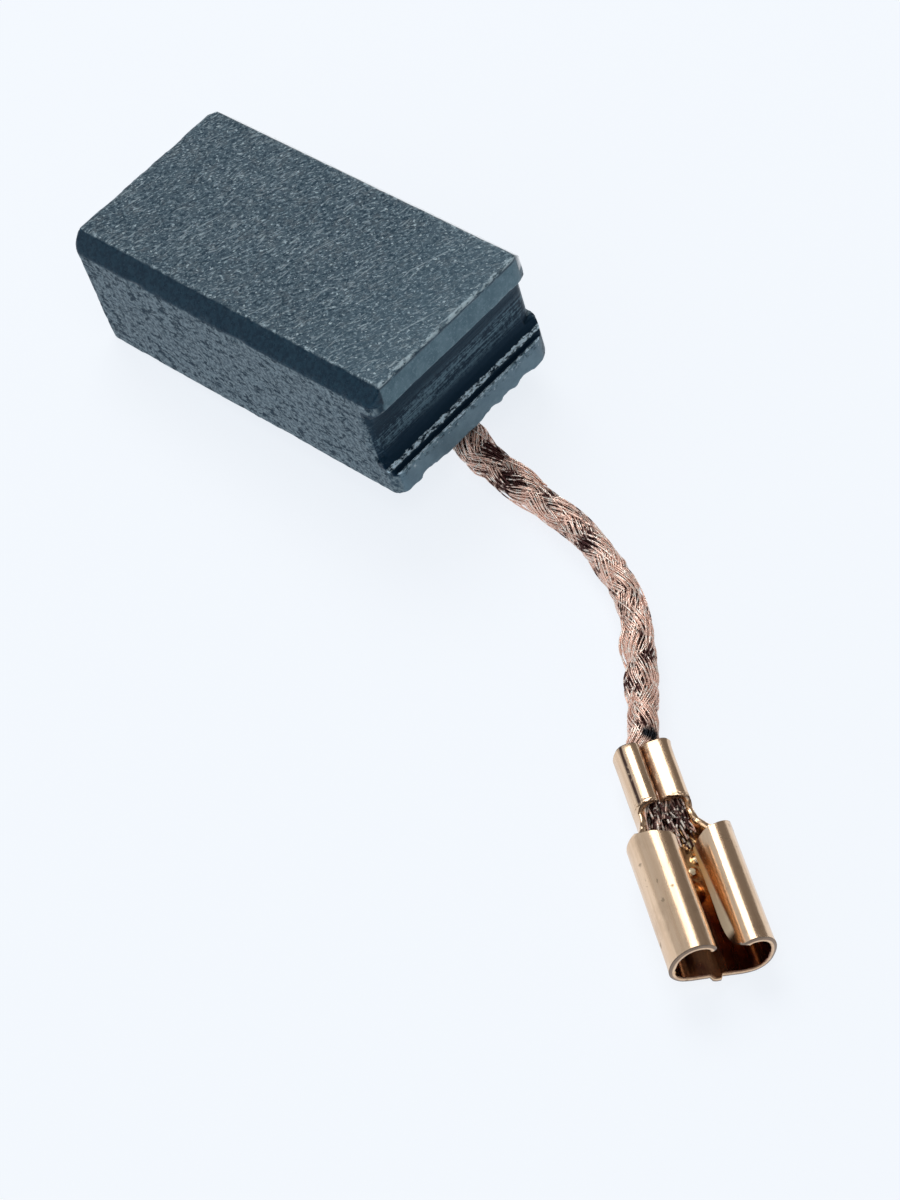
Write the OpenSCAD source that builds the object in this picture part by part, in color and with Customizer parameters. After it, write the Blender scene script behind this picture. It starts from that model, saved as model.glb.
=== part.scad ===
// Carbon brush for a small power tool: a ground carbon block, the powder that
// is tamped round its shunt, the plaited copper shunt and a folded brass
// receptacle.  Millimetres, +Z up.  The brush lies as it rests on a table: the
// working end of the block is down on it, the other end is propped by the
// shunt, and the receptacle lies beyond.

/* [Carbon block] */
// Length from the working face to the shunt end
block_l = 15; // [13:0.5:16]
// Width of the broad faces
block_w = 8; // [7.6:0.1:8.4]
// Thickness between the broad faces
block_h = 5; // [4.8:0.1:5.4]
// Width of the long chamfers, across the broad face
chamfer_w = 0.55; // [0.2:0.05:0.9]
// Height of the long chamfers, down the side
chamfer_h = 0.75; // [0.2:0.05:0.9]
// Radius of the short upright edges on the near side
corner_r = 0.5; // [0.2:0.05:0.8]
// Radius of the short upright edges on the far side, more worn
corner_far_r = 0.95; // [0.2:0.05:1.1]
// How far the working face leans out below its broken top edge
face_lean = 0.15; // [0:0.01:0.3]
// Angle at which the block lies propped
tilt = 6; // [5:0.5:7]

/* [Spring seat] */
// Depth of the seat across the shunt end
seat_d = 0.66; // [0.3:0.02:0.8]
// Height of the lower lip
lip_low = 0.98; // [0.8:0.02:1.1]
// Height of the upper lip
lip_high = 1.1; // [1:0.05:1.3]

/* [Shunt hole] */
// Radius of the tamping hole in the lower broad face
hole_r = 1.25; // [1.1:0.05:1.5]
// Depth of the hole's straight wall
hole_depth = 3; // [2.8:0.1:3.4]
// Distance from the hole's axis to the shunt end
hole_back = 2.8; // [2.6:0.1:3.2]
// How far the tamped powder stops short of the face
powder_recess = 0.45; // [0.4:0.01:0.5]

/* [Shunt] */
// Half width of the plait where it lies free
shunt_r = 0.5; // [0.45:0.05:0.6]

/* [Receptacle] */
// Outer width over the rolled sides
rec_w = 3.4; // [3.4:0.05:3.6]
// Outer height over the rolled sides
rec_h = 1.95; // [1.9:0.05:2.05]
// Length of the rolled part
rec_l = 4.3; // [4:0.1:4.6]
// Thickness of the sheet
sheet = 0.25; // [0.2:0.01:0.26]
// Width of the slot between the rolled edges
slot_w = 0.55; // [0.4:0.05:0.7]
// Clear height under the rolled edges, for a tab
tab_gap = 0.55; // [0.5:0.05:0.6]
// Length of the wire crimp
crimp_l = 2.15; // [1.9:0.05:2.3]

/* [Hidden] */

eps = 0.01;
origin_x = 7.16;                // middle of the block's own box at rest
hole_x = block_l - hole_back;
socket_top = 2.7;               // the plait's end inside the powder
shunt_in = 0.6;                 // half width of the plait inside the powder
crimp_start = 8.1;              // receptacle mouth to the crimp's far edge
crimp_off = -0.09;              // the crimp stands a little to one side of the middle
crimp_end = crimp_start - crimp_l;
crimp_half = 0.93;              // half the crimp's outer width
neck_end = 5.35;                // receptacle mouth to where the neck opens out
crimp_in_h = 0.93;              // underside of the crimp's folded wings

// where the receptacle lies: its mouth, heading and roll about its length
rec_at = [34.28, -11.35, 0.27];
rec_yaw = -33.5;
rec_roll = 17.5;

// ---------------------------------------------------------------- helpers
function unit(v) = v / norm(v);

// block axes -> the axes of the whole brush at rest
function from_block(p) =
    [p[0] * cos(tilt) - p[2] * sin(tilt), p[1], p[0] * sin(tilt) + p[2] * cos(tilt)];

// receptacle axes (along the mouth, left, up) -> the axes of the whole brush
rec_a = [cos(rec_yaw), sin(rec_yaw), 0];
rec_b0 = [-sin(rec_yaw), cos(rec_yaw), 0];
rec_b = cos(rec_roll) * rec_b0 - [0, 0, sin(rec_roll)];
rec_n = sin(rec_roll) * rec_b0 + [0, 0, cos(rec_roll)];
function from_rec(p) = rec_at + p[0] * rec_a + p[1] * rec_b + p[2] * rec_n;

module at_origin() { translate([-origin_x, 0, 0]) children(); }
module block_frame() { at_origin() rotate([0, -tilt, 0]) children(); }
module rec_frame() {
    at_origin() multmatrix([
        [rec_a[0], rec_b[0], rec_n[0], rec_at[0]],
        [rec_a[1], rec_b[1], rec_n[1], rec_at[1]],
        [rec_a[2], rec_b[2], rec_n[2], rec_at[2]],
        [0, 0, 0, 1]]) children();
}

// ---------------------------------------------------------------- block
// side view: length against thickness, with the spring seat in the shunt end
function block_side() = let(L = block_l, H = block_h, d = seat_d, a = lip_low, b = H - lip_high) [
    [0, 0], [L, 0], [L, a - 0.06], [L - 0.05, a],
    [L - 0.2, a + 0.02], [L - 0.3, a + 0.14], [L - 0.38, a + 0.16],
    [L - 0.52, a + 0.36], [L - d + 0.02, a + 0.62],
    [L - d, (a + b) / 2], [L - d + 0.03, b - 0.6],
    [L - d + 0.12, b - 0.36], [L - 0.08, b - 0.05], [L, b + 0.04],
    [L, H], [0.02, H], [-face_lean, H - chamfer_h]];

// end view: width against thickness, with the two long chamfers
function block_end() = let(w = block_w / 2, H = block_h) [
    [-w + 0.08, 0], [w - 0.08, 0], [w, 0.08], [w, H - chamfer_h],
    [w - chamfer_w, H], [-w + chamfer_w, H], [-w, H - chamfer_h], [-w, 0.08]];

// plan view: length against width, with the rounded upright edges
function block_plan(n = 6) = let(w = block_w / 2, r = corner_r, q = corner_far_r, L = block_l, x = -face_lean) [
    for (c = [[L - r, -w + r, -90, r], [L - q, w - q, 0, q], [x + q, w - q, 90, q], [x + r, -w + r, 180, r]])
        for (i = [0 : n]) [c[0] + c[3] * cos(c[2] + i * 90 / n), c[1] + c[3] * sin(c[2] + i * 90 / n)]];

// what is worn off the far upright edge of the seat, in plan
seat_r = 0.65;
function seat_corner(n = 5) = let(x = block_l - seat_d - seat_r, y = block_w / 2 - seat_r) concat(
    [for (i = [0 : n]) let(a = 90 - 75 * i / n) [x + seat_r * cos(a), y + seat_r * sin(a)]],
    [[block_l - seat_d + 0.2, y - 0.1], [block_l + 1, y - 0.1], [block_l + 1, y + 2], [x, y + 2]]);

module carbon_block() {
    color([0.24, 0.28, 0.32]) block_frame() difference() {
        intersection() {
            translate([0, block_w, 0]) rotate([90, 0, 0])
                linear_extrude(height = 2 * block_w) polygon(block_side());
            translate([-1, 0, 0]) rotate([90, 0, 90])
                linear_extrude(height = block_l + 2) polygon(block_end());
            translate([0, 0, -1]) linear_extrude(height = block_h + 2) polygon(block_plan());
        }
        // tamping hole, drilled up from the lower broad face
        translate([hole_x, 0, 0]) rotate_extrude($fn = 96)
            polygon([[0, -0.5], [hole_r, -0.5], [hole_r, hole_depth], [0, hole_depth + 0.6]]);
        // far upright edge inside the spring seat, worn round
        translate([0, 0, lip_low + 0.5]) linear_extrude(height = block_h - lip_high - lip_low - 0.83)
            polygon(seat_corner());
        // far lower corner, knocked off
        translate([block_l - 0.2, block_w / 2 - 0.2, 0]) rotate([0, 0, 45]) rotate([0, -40, 0])
            translate([-1.2, -4, -6]) cube([8, 8, 6]);
    }
}

// ---------------------------------------------------------------- powder
// the plait's outline: eight flats, half width hw and half height hh
function plait(hw, hh) = [for (k = [0 : 7]) let(a = 22.5 + 45 * k)
    [hw * cos(a) / cos(22.5), hh * sin(a) / cos(22.5)]];

module tamped_powder() {
    color([0.42, 0.30, 0.25]) block_frame() translate([hole_x, 0, 0]) difference() {
        rotate_extrude($fn = 96) polygon([[0, powder_recess], [hole_r, powder_recess],
            [hole_r, hole_depth], [0, hole_depth + 0.6]]);
        translate([0, 0, powder_recess - 0.5])
            linear_extrude(height = socket_top - powder_recess + 0.5)
                polygon(plait(shunt_in, shunt_in));
    }
}

// ---------------------------------------------------------------- shunt
// one entry a ring: centre, half width, half height, roll about the length
bend_r = 1;
bend_z = 0.3;                   // where the plait starts to turn, above the face
bend_o = from_block([hole_x + bend_r, 0, bend_z]);
bend_n = 5;
route_hole = [for (z = [socket_top, powder_recess]) [from_block([hole_x, 0, z]), shunt_in, shunt_in, 0]];
route_bend = [for (i = [0 : bend_n]) let(a = 180 + tilt + i * (90 - tilt) / bend_n)
    [bend_o + bend_r * [cos(a), 0, sin(a)], shunt_in + 0.02 * i, shunt_in - 0.01 * i, 0]];
// along the table, by hand
route_free = [
    [[13.7, -0.1, 0.67], 0.66, 0.55, 0], [[14.4, -0.3, 0.66], 0.66, 0.55, 0],
    [[15.3, -0.6, 0.66], 0.62, 0.55, 0], [[16.3, -0.7, 0.66], 0.58, 0.54, 0],
    [[17.5, -0.77, 0.68], 0.55, 0.53, 0], [[18.8, -0.86, 0.7], 0.52, shunt_r, 0],
    [[20.1, -1.06, 0.72], shunt_r, shunt_r, 0], [[21.4, -1.42, 0.74], shunt_r, shunt_r, 0],
    [[22.7, -1.98, 0.76], shunt_r, shunt_r, 2], [[23.9, -2.72, 0.78], shunt_r, shunt_r, 5],
    [[24.92, -3.62, 0.79], 0.52, shunt_r, 8], [[25.86, -4.62, 0.8], 0.54, shunt_r, 11],
    [[26.7, -5.62, 0.81], 0.52, shunt_r, 14]];
// through the crimp and out into the neck
mid_n = (sheet + crimp_in_h) / 2;
half_n = (crimp_in_h - sheet) / 2;
route_crimp = [
    [from_rec([-crimp_start - 0.45, 0.13, 0.68]), 0.52, 0.43, rec_roll],
    [from_rec([-crimp_start - 0.02, crimp_off, mid_n]), 0.62, half_n, rec_roll],
    [from_rec([-crimp_end + 0.02, crimp_off, mid_n]), 0.62, half_n, rec_roll],
    [from_rec([-crimp_end + 0.4, crimp_off, mid_n]), 0.66, half_n, rec_roll],
    [from_rec([-rec_l - 0.35, 0, mid_n]), 0.8, half_n, rec_roll]];
route = concat(route_hole, route_bend, route_free, route_crimp);

function ring(i, n = len(route)) =
    let(a = route[max(0, i - 1)][0], b = route[min(n - 1, i + 1)][0],
        t = unit(b - a), up = unit(cross([0, 1, 0], t)) * -1, s = cross(t, up),
        g = route[i][3], u = cos(g) * up - sin(g) * s, v = cos(g) * s + sin(g) * up)
    [for (p = plait(route[i][1], route[i][2])) route[i][0] + p[0] * v + p[1] * u];

module shunt_braid() {
    n = len(route);
    pts = [for (i = [0 : n - 1]) each ring(i)];
    color([0.80, 0.50, 0.38]) at_origin() polyhedron(points = pts, faces = concat(
        [[for (k = [0 : 7]) 7 - k]], [[for (k = [0 : 7]) (n - 1) * 8 + k]],
        [for (i = [0 : n - 2]) for (k = [0 : 7]) let(j = (k + 1) % 8)
            each [[i * 8 + k, i * 8 + j, (i + 1) * 8 + j], [i * 8 + k, (i + 1) * 8 + j, (i + 1) * 8 + k]]]),
        convexity = 8);
}

// ---------------------------------------------------------------- receptacle
// arc of n steps from angle a to b
function arc(c, r, a, b, n) = [for (i = [0 : n]) c + r * [cos(a + (b - a) * i / n), sin(a + (b - a) * i / n)]];
// the same a little to one side, for the crimp and its trough
function aside(h) = [for (v = mirrored(h)) [v[0] + crimp_off, v[1]]];
function mirrored(h) = concat([for (i = [len(h) - 1 : -1 : 0]) [-h[i][0], h[i][1]]], h);
// a closed outline of even thickness along a middle line
function tangent(m, i) = unit(m[min(len(m) - 1, i + 1)] - m[max(0, i - 1)]);
function side(m, d) = [for (i = [0 : len(m) - 1]) let(t = tangent(m, i)) m[i] + d * [t[1], -t[0]]];
function band(m, t) = let(o = side(m, t / 2), q = side(m, -t / 2))
    concat(o, [for (i = [len(q) - 1 : -1 : 0]) q[i]]);

side_r = (rec_h - sheet) / 2;             // middle-line radius of the rolled sides
flat_w = rec_w / 2 - sheet / 2 - side_r;  // half width of the flat base
lip_x = slot_w / 2 + sheet / 2;           // middle line of the turned-down edge
curl_r = flat_w - lip_x;
// right half of each section's middle line, from the base's edge of the flat out
half_body = concat(arc([flat_w, rec_h / 2], side_r, -90, 90, 16),
    [for (p = arc([flat_w, rec_h - sheet / 2 - curl_r], curl_r, 90, 180, 6)) if (p[1] < rec_h - sheet / 2 - 0.001) p],
    [[lip_x, sheet + tab_gap]]);
half_wide = arc([flat_w, rec_h / 2], side_r, -90, 0, 8);
// the middle line's corner radii and places in the crimp
crimp_flat = 0.43;
crimp_low = 0.375;
crimp_top = 0.33;
half_narrow = concat(arc([crimp_flat, crimp_low + sheet / 2], crimp_low, -90, 0, 8));
half_crimp = concat(half_narrow,
    arc([crimp_half - sheet / 2 - crimp_top, 0.95], crimp_top, 0, 180, 12),
    [[crimp_half - sheet / 2 - 2 * crimp_top, crimp_in_h]]);

// through a row of sections that have the same number of points
module loft(s, p) {
    n = len(p[0]);
    m = (len(s) - 1) * n;
    polyhedron(points = [for (k = [0 : len(s) - 1]) for (v = p[k]) [s[k], v[0], v[1]]],
        faces = concat([for (i = [0 : n / 2 - 2]) [i, i + 1, n - 2 - i, n - 1 - i]],
            [for (i = [0 : n / 2 - 2]) [m + n - 1 - i, m + n - 2 - i, m + i + 1, m + i]],
            [for (k = [0 : len(s) - 2]) for (i = [0 : n - 1]) let(j = (i + 1) % n, u = k * n)
                each [[u + j, u + i, u + n + i], [u + j, u + n + i, u + n + j]]]),
        convexity = 6);
}

module along(s0, s1, m) {
    translate([s0, 0, 0]) rotate([90, 0, 90]) linear_extrude(height = s1 - s0) polygon(band(m, sheet));
}

module receptacle_terminal() {
    color([0.86, 0.72, 0.48]) rec_frame() union() {
        // rolled part, open at the mouth
        along(-rec_l, 0, mirrored(half_body));
        // trough from the rolled part down to the crimp
        loft([-crimp_end, -neck_end, -rec_l], [band(aside(half_narrow), sheet),
            band(aside(half_narrow), sheet), band(mirrored(half_wide), sheet)]);
        // crimp, its wings folded over on to the wire
        along(-crimp_start, -crimp_end, aside(half_crimp));
        // stub left where it was cut from its carrier
        translate([-eps, -0.19, 0]) cube([0.16 + eps, 0.32, sheet]);
        // locking dimple
        translate([-2.9, 0, sheet - 0.05]) cylinder(r1 = 0.42, r2 = 0.26, h = 0.19, $fn = 48);
    }
}

carbon_block();
tamped_powder();
shunt_braid();
receptacle_terminal();
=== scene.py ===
import bpy
import math
import numpy as np
from mathutils import Matrix, Vector


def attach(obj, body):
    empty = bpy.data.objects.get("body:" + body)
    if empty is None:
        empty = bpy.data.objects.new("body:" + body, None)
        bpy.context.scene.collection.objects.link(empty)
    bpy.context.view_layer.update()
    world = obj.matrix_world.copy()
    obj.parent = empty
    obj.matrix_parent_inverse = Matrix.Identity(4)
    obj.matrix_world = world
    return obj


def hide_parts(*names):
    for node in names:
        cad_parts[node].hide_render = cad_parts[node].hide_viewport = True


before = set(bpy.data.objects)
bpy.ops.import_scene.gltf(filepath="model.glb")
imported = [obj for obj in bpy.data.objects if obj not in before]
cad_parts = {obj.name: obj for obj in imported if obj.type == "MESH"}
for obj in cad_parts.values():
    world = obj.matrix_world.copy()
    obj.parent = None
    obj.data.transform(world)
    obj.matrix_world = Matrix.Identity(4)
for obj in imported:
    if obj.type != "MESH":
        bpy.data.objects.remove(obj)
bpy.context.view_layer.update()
scene = bpy.context.scene
MM = 0.001
RNG = np.random.default_rng(20)

# ------------------------------------------------------------------ camera
# the photograph's own viewing angle, in the row frame
cam_data = bpy.data.cameras.new("camera")
cam = bpy.data.objects.new("camera", cam_data)
scene.collection.objects.link(cam)
right = Vector((0.737885, 0.6592, -0.144864)).normalized()
up = Vector((-0.477638, 0.6616, 0.57804))
up = (up - right * up.dot(right)).normalized()
back = right.cross(up).normalized()
cam.matrix_world = Matrix((
    (right.x, up.x, back.x, 0.060301),
    (right.y, up.y, back.y, -0.042504),
    (right.z, up.z, back.z, 0.083110),
    (0, 0, 0, 1)))
cam_data.sensor_width = 36
cam_data.lens = 92.76
cam_data.clip_start = 0.002
cam_data.clip_end = 20
scene.camera = cam
scene.view_settings.view_transform = "Standard"
scene.view_settings.look = "None"

# ------------------------------------------------------------------ frames (mm)
OX = 7.16
TILT = math.radians(6)
CT, ST = math.cos(TILT), math.sin(TILT)


def block_to_row(P):
    P = np.asarray(P, float)
    return np.stack([P[..., 0] * CT - P[..., 2] * ST - OX, P[..., 1], P[..., 0] * ST + P[..., 2] * CT], -1)


YAW, ROLL = math.radians(-33.5), math.radians(17.5)
REC0 = np.array([34.28 - OX, -11.35, 0.27])
REC_A = np.array([math.cos(YAW), math.sin(YAW), 0])
_b0 = np.array([-math.sin(YAW), math.cos(YAW), 0])
REC_B = math.cos(ROLL) * _b0 - math.sin(ROLL) * np.array([0, 0, 1.0])
REC_N = math.sin(ROLL) * _b0 + math.cos(ROLL) * np.array([0, 0, 1.0])


def rec_to_row(P):
    P = np.asarray(P, float)
    return REC0 + P[..., 0:1] * REC_A + P[..., 1:2] * REC_B + P[..., 2:3] * REC_N


# ------------------------------------------------------------------ noise
def _hash(a, b, c, seed):
    n = (a * 73856093) ^ (b * 19349663) ^ (c * 83492791) ^ (seed * 2654435761)
    n = n & 0xFFFFFFFF
    n = ((n ^ (n >> 13)) * 1274126177) & 0xFFFFFFFF
    n = n ^ (n >> 16)
    return n.astype(np.float64) / 4294967295.0


def vnoise(P, seed=0):
    """Smooth value noise from 0 to 1, one cell a unit."""
    i = np.floor(P).astype(np.int64)
    f = P - i
    f = f * f * (3 - 2 * f)
    out = np.zeros(len(P))
    for dx in (0, 1):
        wx = f[:, 0] if dx else 1 - f[:, 0]
        for dy in (0, 1):
            wy = f[:, 1] if dy else 1 - f[:, 1]
            for dz in (0, 1):
                wz = f[:, 2] if dz else 1 - f[:, 2]
                out += wx * wy * wz * _hash(i[:, 0] + dx, i[:, 1] + dy, i[:, 2] + dz, seed)
    return out


def fbm(P, seed=0, octaves=3):
    out, amp, tot = 0, 1.0, 0
    for k in range(octaves):
        out = out + amp * vnoise(P * 2 ** k + 17.3 * k, seed + k)
        tot += amp
        amp *= 0.5
    return out / tot


# ------------------------------------------------------------------ mesh helpers
def mesh_object(name, V, F, smooth=True):
    """V in mm in the row frame; F an array of quads, or a list of faces."""
    me = bpy.data.meshes.new(name)
    if isinstance(F, np.ndarray):
        n, k = F.shape
        me.vertices.add(len(V))
        me.vertices.foreach_set("co", (np.asarray(V) * MM).astype(np.float32).ravel())
        me.loops.add(n * k)
        me.loops.foreach_set("vertex_index", F.astype(np.int32).ravel())
        me.polygons.add(n)
        me.polygons.foreach_set("loop_start", np.arange(0, n * k, k, dtype=np.int32))
        me.polygons.foreach_set("loop_total", np.full(n, k, dtype=np.int32))
        me.update(calc_edges=True)
        me.validate()
    else:
        me.from_pydata([tuple(v) for v in np.asarray(V) * MM], [], F)
    me.polygons.foreach_set("use_smooth", np.full(len(me.polygons), smooth))
    me.update()
    ob = bpy.data.objects.new(name, me)
    scene.collection.objects.link(ob)
    return ob


def put(ob, name, values):
    values = np.asarray(values, float)
    if values.ndim == 1:
        a = ob.data.attributes.new(name, "FLOAT", "POINT")
        a.data.foreach_set("value", values.astype(np.float32))
    else:
        a = ob.data.attributes.new(name, "FLOAT_VECTOR", "POINT")
        a.data.foreach_set("vector", values.astype(np.float32).ravel())


def surface_net(f, xs, ys, zs, steps=3):
    """Quads on the surface f = 0 over a grid, moved on to the surface."""
    X, Y, Z = np.meshgrid(xs, ys, zs, indexing="ij")
    D = f(np.stack([X, Y, Z], -1).reshape(-1, 3)).reshape(X.shape)
    S = D < 0
    cnt = np.zeros(np.array(S.shape) - 1, int)
    corners = [(i, j, k) for i in (0, 1) for j in (0, 1) for k in (0, 1)]
    nx, ny, nz = cnt.shape
    for i, j, k in corners:
        cnt += S[i:i + nx, j:j + ny, k:k + nz]
    act = (cnt > 0) & (cnt < 8)
    idx = np.full(cnt.shape, -1)
    idx[act] = np.arange(act.sum())
    I, J, K = np.nonzero(act)
    acc, c = np.zeros((len(I), 3)), np.zeros(len(I))
    G = (xs, ys, zs)
    for a in corners:
        for ax in range(3):
            if a[ax]:
                continue
            b = list(a)
            b[ax] = 1
            da = D[I + a[0], J + a[1], K + a[2]]
            db = D[I + b[0], J + b[1], K + b[2]]
            m = (da < 0) != (db < 0)
            t = np.where(m, da / np.where(m, da - db, 1), 0)
            pa = np.stack([xs[I + a[0]], ys[J + a[1]], zs[K + a[2]]], -1)
            pb = np.stack([xs[I + b[0]], ys[J + b[1]], zs[K + b[2]]], -1)
            acc += np.where(m[:, None], pa + (pb - pa) * t[:, None], 0)
            c += m
    V = acc / c[:, None]
    quads = []
    for ax in range(3):
        s0 = [slice(None)] * 3
        s1 = [slice(None)] * 3
        s0[ax], s1[ax] = slice(0, -1), slice(1, None)
        A, B = S[tuple(s0)], S[tuple(s1)]
        for way in (0, 1):
            E = np.nonzero((A & ~B) if way == 0 else (~A & B))
            e = [np.array(v) for v in E]
            o1, o2 = [q for q in range(3) if q != ax]
            ok = (e[o1] > 0) & (e[o2] > 0) & (e[o1] < S.shape[o1] - 1) & (e[o2] < S.shape[o2] - 1)
            e = [v[ok] for v in e]

            def cell(d1, d2):
                q = list(e)
                q[o1] = e[o1] + d1
                q[o2] = e[o2] + d2
                return idx[tuple(q)]
            Q = np.stack([cell(-1, -1), cell(0, -1), cell(0, 0), cell(-1, 0)], -1)
            flip = (way == 1) != (ax == 1)
            quads.append(Q[:, ::-1] if flip else Q)
    Q = np.concatenate(quads)
    h = 0.01
    for _ in range(steps):
        d = f(V)
        g = np.stack([(f(V + h * e) - f(V - h * e)) / (2 * h) for e in np.eye(3)], -1)
        n2 = np.maximum((g * g).sum(1), 0.2)
        V = V - np.clip(d / n2, -0.05, 0.05)[:, None] * g
    return V, Q


def spaced(*spans):
    """Grid places: spans of (start, end, step)."""
    out = []
    for a, b, st in spans:
        n = max(1, int(round((b - a) / st)))
        out += list(a + (b - a) * np.arange(n) / n)
    return np.array(out + [spans[-1][1]])


def smax(a, b, k):
    h = np.clip(0.5 + 0.5 * (a - b) / k, 0, 1)
    return b * (1 - h) + a * h + k * h * (1 - h)


# ------------------------------------------------------------------ carbon block
L, W2, H = 15.0, 4.0, 5.0
SEAT = np.array([  # groove across the shunt end, in side view: x, z
    (15.6, 3.97), (15.02, 3.93), (14.93, 3.86), (14.6, 3.64), (14.42, 3.42), (14.355, 3.1), (14.33, 2.6),
    (14.34, 2.1), (14.37, 1.7), (14.44, 1.42), (14.55, 1.22), (14.62, 1.15), (14.71, 1.14),
    (14.77, 1.05), (14.80, 0.96), (14.85, 0.955), (14.90, 1.01), (14.96, 1.01), (15.01, 0.965), (15.6, 0.9)])


def poly_distance(px, pz, poly):
    """Signed distance to a closed outline, negative inside."""
    d = np.full(px.shape, 1e9)
    inside = np.zeros(px.shape, bool)
    n = len(poly)
    for i in range(n):
        ax, az = poly[i]
        bx, bz = poly[(i + 1) % n]
        ex, ez = bx - ax, bz - az
        wx, wz = px - ax, pz - az
        t = np.clip((wx * ex + wz * ez) / (ex * ex + ez * ez), 0, 1)
        d = np.minimum(d, (wx - ex * t) ** 2 + (wz - ez * t) ** 2)
        with np.errstate(divide="ignore", invalid="ignore"):
            cross = ((az > pz) != (bz > pz)) & (px < ax + (pz - az) * ex / (ez if ez else 1e-9))
        inside ^= cross
    return np.where(inside, -1, 1) * np.sqrt(d)


def corner_box(x, y, lo, hi, radii):
    """Plan distance of a box whose corners have their own radii: (x+ y-), (x+ y+), (x- y+), (x- y-)."""
    cx, cy = (lo[0] + hi[0]) / 2, (lo[1] + hi[1]) / 2
    hx, hy = (hi[0] - lo[0]) / 2, (hi[1] - lo[1]) / 2
    px, py = x - cx, y - cy
    r = np.where(px > 0, np.where(py > 0, radii[1], radii[0]), np.where(py > 0, radii[2], radii[3]))
    qx, qy = np.abs(px) - hx + r, np.abs(py) - hy + r
    return np.minimum(np.maximum(qx, qy), 0) + np.hypot(np.maximum(qx, 0), np.maximum(qy, 0)) - r


CH_N = np.array([0.75, 0.55]) / math.hypot(0.75, 0.55)
CHIPS = [  # x, y, z, rx, ry, rz: what is broken off edges
    (15.14, -2.6, -0.07, 0.45, 0.45, 0.26), (15.14, -2.05, -0.1, 0.4, 0.4, 0.22),
    (15.14, 0.55, -0.1, 0.4, 0.5, 0.25), (15.14, 1.45, -0.08, 0.4, 0.42, 0.24),
    (15.14, -3.4, -0.1, 0.35, 0.35, 0.18), (15.1, 2.35, -0.1, 0.5, 0.5, 0.27),
    (15.08, -0.7, -0.12, 0.3, 0.55, 0.17), (-0.07, 3.5, 5.07, 0.3, 0.35, 0.18),
    (-0.03, 1.2, 5.06, 0.2, 0.4, 0.11), (-0.03, -1.6, 5.06, 0.22, 0.5, 0.12),
    (15.08, 0.6, 5.06, 0.2, 0.5, 0.13), (15.08, -1.9, 5.06, 0.18, 0.4, 0.12),
    (-0.1, -4.04, 2.2, 0.28, 0.2, 0.5), (-0.05, -4.04, 0.9, 0.25, 0.16, 0.4),
    (3.2, -4.05, 4.22, 0.5, 0.12, 0.12), (8.4, -4.06, 4.2, 0.6, 0.12, 0.12),
    (11.6, -3.43, 5.06, 0.4, 0.12, 0.09), (5.7, -3.42, 5.06, 0.3, 0.12, 0.09),
    (2.2, -4.05, -0.03, 0.5, 0.12, 0.12), (9.4, -4.05, -0.03, 0.7, 0.1, 0.11),
    (0.05, -2.0, -0.03, 0.14, 0.5, 0.12), (0.05, 2.4, -0.03, 0.16, 0.4, 0.14),
    (6.5, 4.05, -0.03, 0.6, 0.12, 0.12), (12.1, 4.05, 4.2, 0.5, 0.12, 0.12)]
K1 = np.array([math.cos(math.radians(45)), math.sin(math.radians(45))])


def carbon_planes(P):
    x, y, z = P[:, 0], P[:, 1], P[:, 2]
    xf = -0.15 * np.clip(z, -1, 4.25) / 4.25 - 0.08 * np.exp(-((z - 1.0) / 1.0) ** 2) + 0.17 * np.clip((z - 4.25) / 0.75, 0, 2) ** 1.6
    plan = corner_box(x + np.where(x < 7, -xf, 0), y, (0, -W2), (L, W2), (0.5, 0.95, 0.9, 0.45))
    seat = poly_distance(x, z, SEAT)
    cn = (np.abs(y) - W2) * CH_N[0] + (z - H) * CH_N[1] + 0.55 * CH_N[0]
    return x, y, z, plan, seat, cn


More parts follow.
